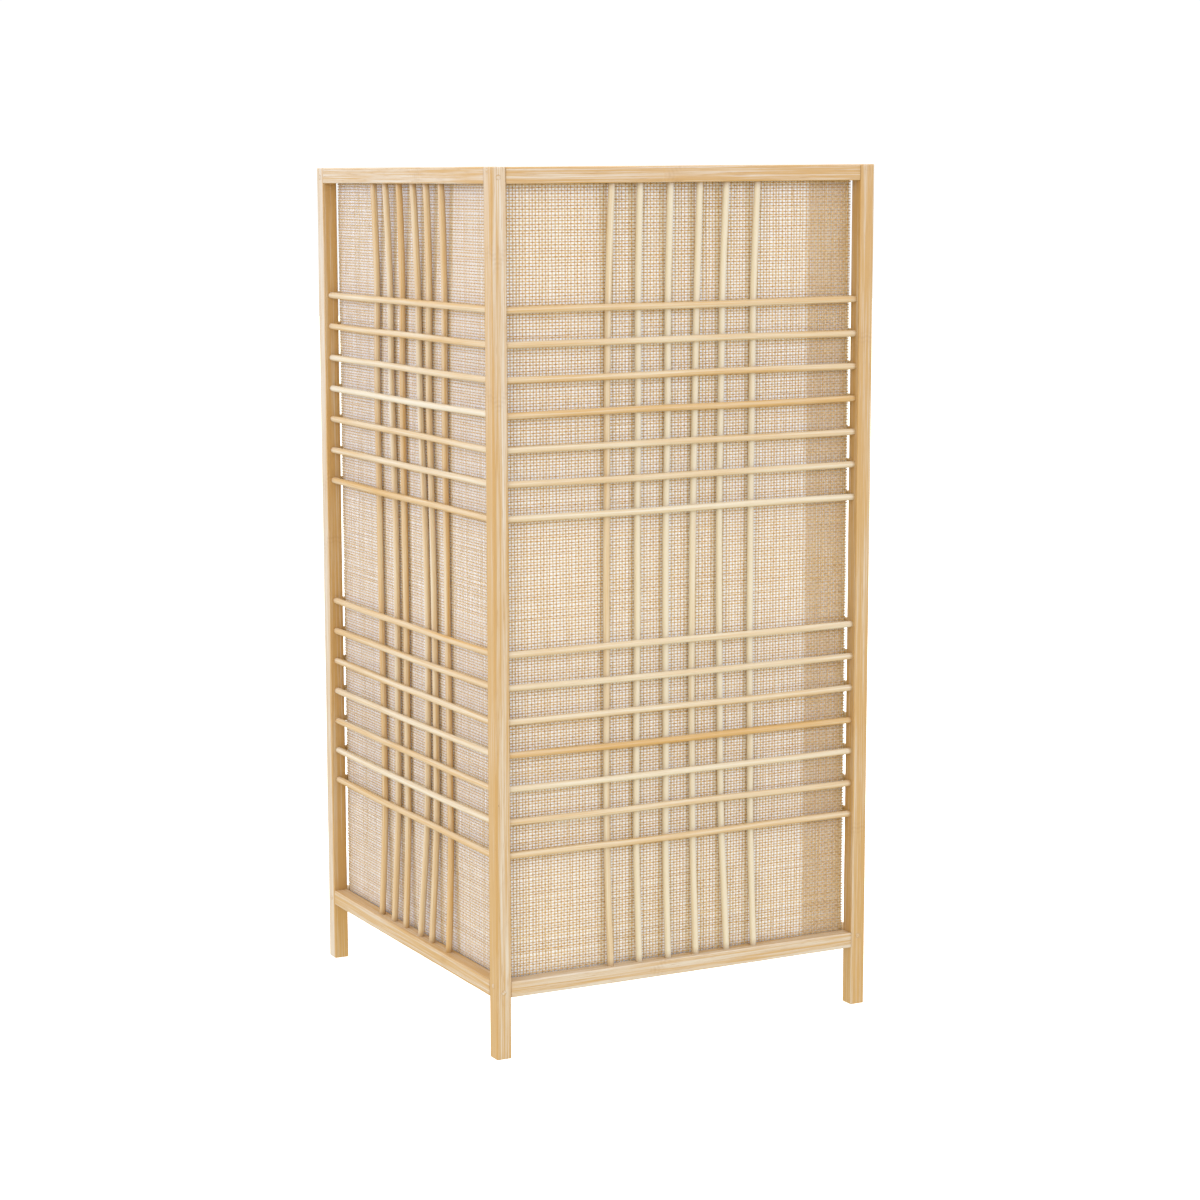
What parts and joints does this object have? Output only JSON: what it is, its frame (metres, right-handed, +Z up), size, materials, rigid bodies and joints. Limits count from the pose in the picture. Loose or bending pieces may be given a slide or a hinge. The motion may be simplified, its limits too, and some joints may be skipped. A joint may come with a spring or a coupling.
{
  "type": "bamboo table lantern",
  "caption": "Square open-topped bamboo lantern on short legs: rods crossing in front of a woven sheet, with a lampholder and bulb inside.",
  "frame": {"origin": "floor level under the middle of the lantern", "axes": "+Z up, -Y is the front, +X to the right of someone who faces the front"},
  "size_m": [0.295, 0.295, 0.6],
  "materials": {
    "bamboo_frame": "satin, fine straight grain",
    "bamboo_rod": "satin",
    "dowel": "satin end grain",
    "woven_paper": "plain weave of twisted paper yarn",
    "liner_paper": "translucent, matt",
    "zinc_steel": "zinc plated",
    "brass": "plain",
    "white_plastic": "smooth",
    "insulator": "moulded",
    "nickel": "nickel plated, satin",
    "black_glass": "black glass insulator",
    "led_white": "white circuit board",
    "opal_globe": "opal, satin"
  },
  "bodies": {
    "lantern": {"post_front_left": "bamboo_frame", "post_front_right": "bamboo_frame", "post_back_right": "bamboo_frame", "post_back_left": "bamboo_frame", "top_rail_front": "bamboo_frame", "top_rail_right": "bamboo_frame", "top_rail_back": "bamboo_frame", "top_rail_left": "bamboo_frame", "bottom_rail_front": "bamboo_frame", "bottom_rail_right": "bamboo_frame", "bottom_rail_back": "bamboo_frame", "bottom_rail_left": "bamboo_frame", "frame_dowels": "dowel", "upper_rods_front": "bamboo_rod", "upper_rods_right": "bamboo_rod", "upper_rods_back": "bamboo_rod", "upper_rods_left": "bamboo_rod", "lower_rods_front": "bamboo_rod", "lower_rods_right": "bamboo_rod", "lower_rods_back": "bamboo_rod", "lower_rods_left": "bamboo_rod", "upright_rods_front": "bamboo_rod", "upright_rods_right": "bamboo_rod", "upright_rods_back": "bamboo_rod", "upright_rods_left": "bamboo_rod", "woven_sheet": "woven_paper", "shade_liner": "liner_paper", "lamp_bar": "zinc_steel", "bar_screws": "zinc_steel", "cable_nipple": "brass", "lock_washer": "zinc_steel", "nipple_nut": "brass", "holder_cap": "white_plastic", "terminal_block": "insulator", "terminal_screws": "brass", "centre_contact": "brass", "screw_shell": "nickel", "holder_shell": "white_plastic"},
    "bulb": {"bulb_contact": "nickel", "bulb_insulator": "black_glass", "bulb_screw_cap": "nickel", "bulb_collar": "white_plastic", "led_board": "led_white", "bulb_globe": "opal_globe"}
  },
  "joints": [
    {"name": "bulb_unscrew", "type": "slide", "parent": "lantern", "child": "bulb", "axis": [0, 0, 1], "range_m": [0, 0.026]}
  ]
}
